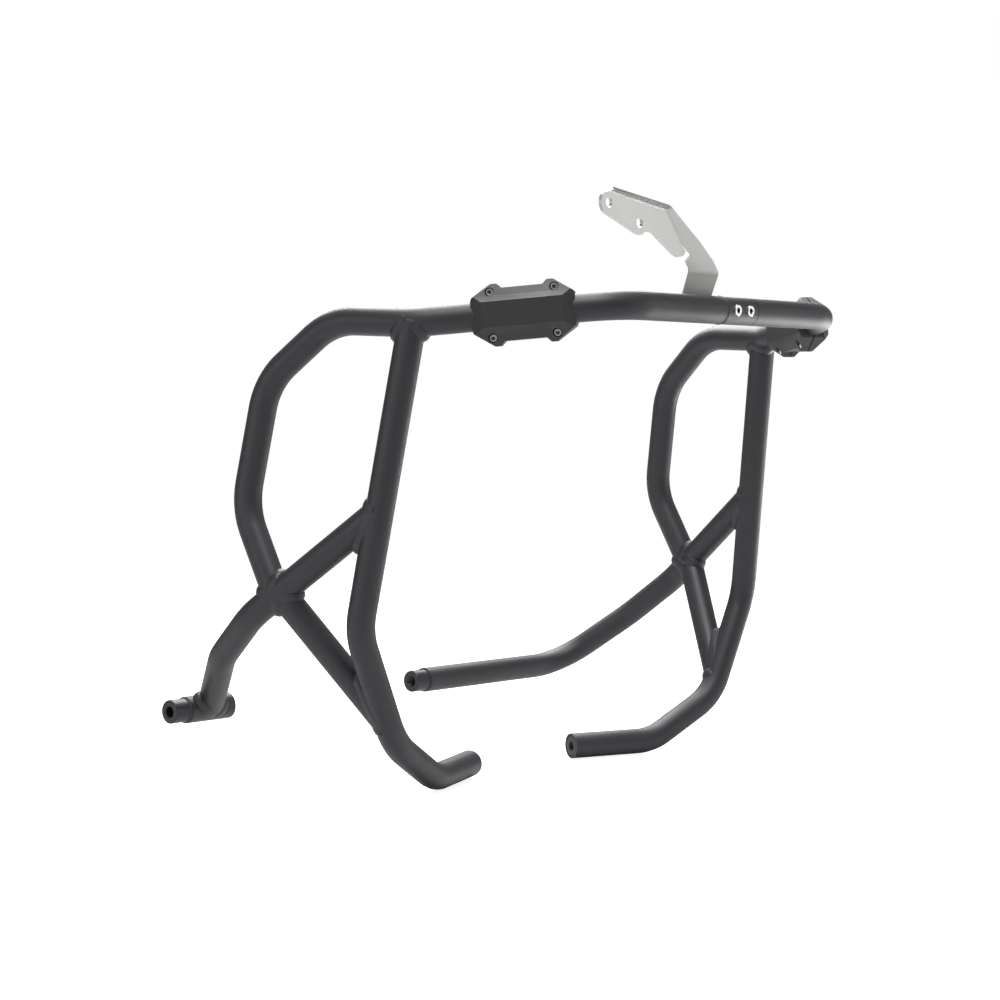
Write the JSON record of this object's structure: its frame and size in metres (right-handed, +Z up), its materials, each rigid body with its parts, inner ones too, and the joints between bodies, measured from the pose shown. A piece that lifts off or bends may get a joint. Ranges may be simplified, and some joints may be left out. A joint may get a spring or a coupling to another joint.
{
  "type": "motorcycle crash bars",
  "caption": "Pair of bent-tube engine guards for a motorcycle, joined across the front by a sleeve, with a clamp-on slider block on each side and a bent sheet bracket.",
  "frame": {"origin": "centre of the left rear boss's inward face, where the frame bolt goes in", "axes": "+Z up as fitted, -Y to the front of the motorcycle, +X to the rider's left"},
  "size_m": [0.643, 0.4401, 0.5354],
  "materials": {
    "tube_coat": "fine-textured matte dark powder coat",
    "weld": "rippled weld bead under the same matte powder coat",
    "boss_steel": "turned steel under a thin dark coat, bare at the faces",
    "spigot_steel": "plain drawn steel bar, hidden inside",
    "zinc_steel": "bright zinc-plated steel",
    "bracket_steel": "brushed stainless sheet",
    "slider_plastic": "fine-grained black moulded plastic"
  },
  "bodies": {
    "root": {"right_loop_tube": "tube_coat", "left_loop_tube": "tube_coat", "right_down_tube": "tube_coat", "left_down_tube": "tube_coat", "right_diagonal_tube": "tube_coat", "left_diagonal_tube": "tube_coat", "right_brace_tube": "tube_coat", "left_brace_tube": "tube_coat", "right_front_insert": "boss_steel", "left_front_insert": "boss_steel", "right_rear_bush": "tube_coat", "right_rear_boss": "boss_steel", "left_rear_boss": "boss_steel", "right_welds": "weld", "left_welds": "weld", "joint_sleeve": "tube_coat", "joint_spigot": "spigot_steel", "joint_screws": "zinc_steel", "joint_nuts": "zinc_steel", "mounting_bracket": "bracket_steel", "right_slider_cover": "slider_plastic", "left_slider_cover": "slider_plastic", "right_slider_back": "slider_plastic", "left_slider_back": "slider_plastic", "right_slider_screws": "zinc_steel", "left_slider_screws": "zinc_steel", "right_slider_nuts": "zinc_steel", "left_slider_nuts": "zinc_steel"}
  },
  "joints": []
}
